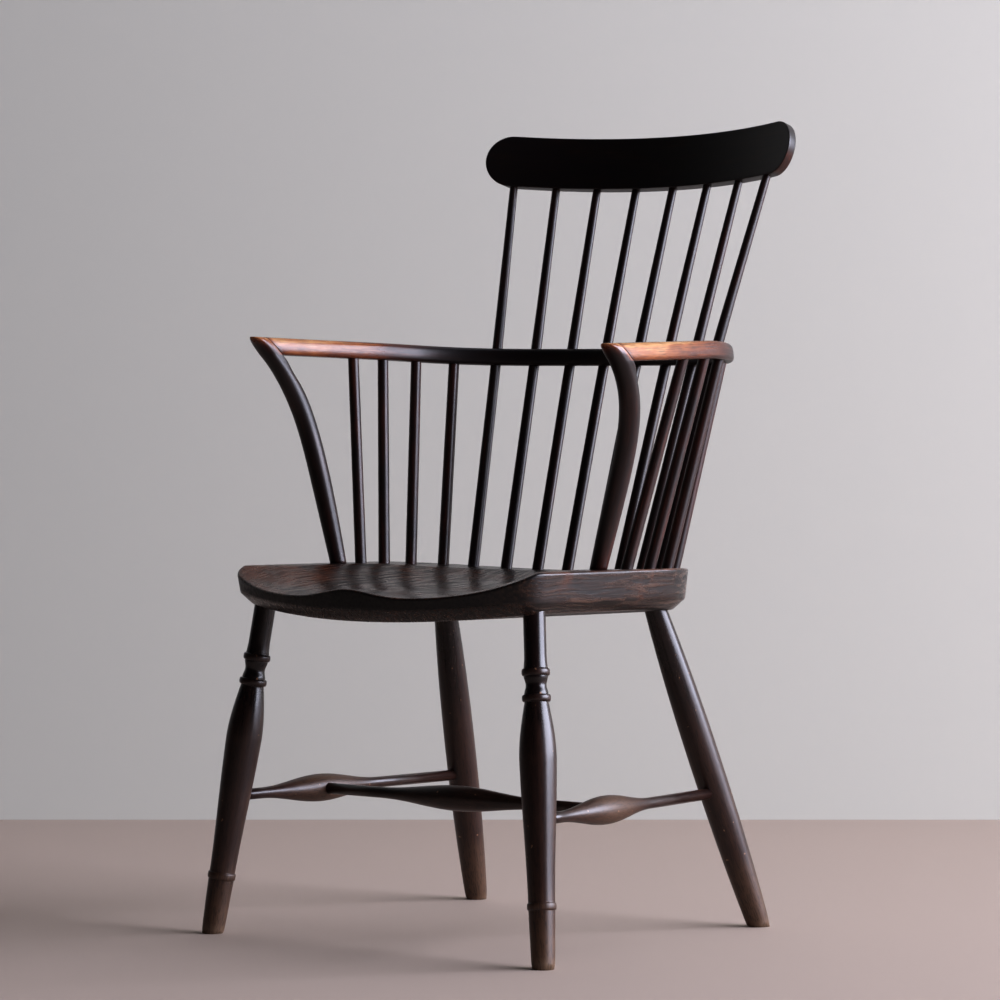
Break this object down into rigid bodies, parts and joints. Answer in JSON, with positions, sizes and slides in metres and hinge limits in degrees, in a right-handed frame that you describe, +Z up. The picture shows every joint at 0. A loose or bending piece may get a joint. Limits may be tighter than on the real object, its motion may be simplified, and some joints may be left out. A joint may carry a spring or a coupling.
{
  "type": "comb back windsor armchair",
  "caption": "Wooden windsor armchair with a saddled plank seat, turned splayed legs joined by stretchers, a bent arm bow and a tall stick back under a curved comb rail.",
  "frame": {"origin": "on the floor under the middle of the chair's footprint, seen from above", "axes": "+Z up, -Y the way the sitter faces, +X to the sitter's left"},
  "size_m": [0.5688, 0.6177, 0.9917],
  "materials": {
    "elm_seat": "worn dark satin polish",
    "worn_arm_bow": "dark polish worn to warm brown on the arms",
    "dark_sticks": "dark satin polish",
    "turned_legs": "dark polish rubbed lighter on the edges"
  },
  "bodies": {
    "root": {"seat": "elm_seat", "front_leg_left": "turned_legs", "front_leg_right": "turned_legs", "rear_leg_left": "turned_legs", "rear_leg_right": "turned_legs", "side_stretcher_left": "turned_legs", "side_stretcher_right": "turned_legs", "cross_stretcher": "turned_legs", "arm_bow": "worn_arm_bow", "arm_support_left": "dark_sticks", "arm_support_right": "dark_sticks", "back_stick_1": "dark_sticks", "back_stick_2": "dark_sticks", "back_stick_3": "dark_sticks", "back_stick_4": "dark_sticks", "back_stick_5": "dark_sticks", "back_stick_6": "dark_sticks", "back_stick_7": "dark_sticks", "back_stick_8": "dark_sticks", "arm_stick_left_1": "dark_sticks", "arm_stick_left_2": "dark_sticks", "arm_stick_left_3": "dark_sticks", "arm_stick_left_4": "dark_sticks", "arm_stick_right_1": "dark_sticks", "arm_stick_right_2": "dark_sticks", "arm_stick_right_3": "dark_sticks", "arm_stick_right_4": "dark_sticks", "comb": "dark_sticks"}
  },
  "joints": []
}
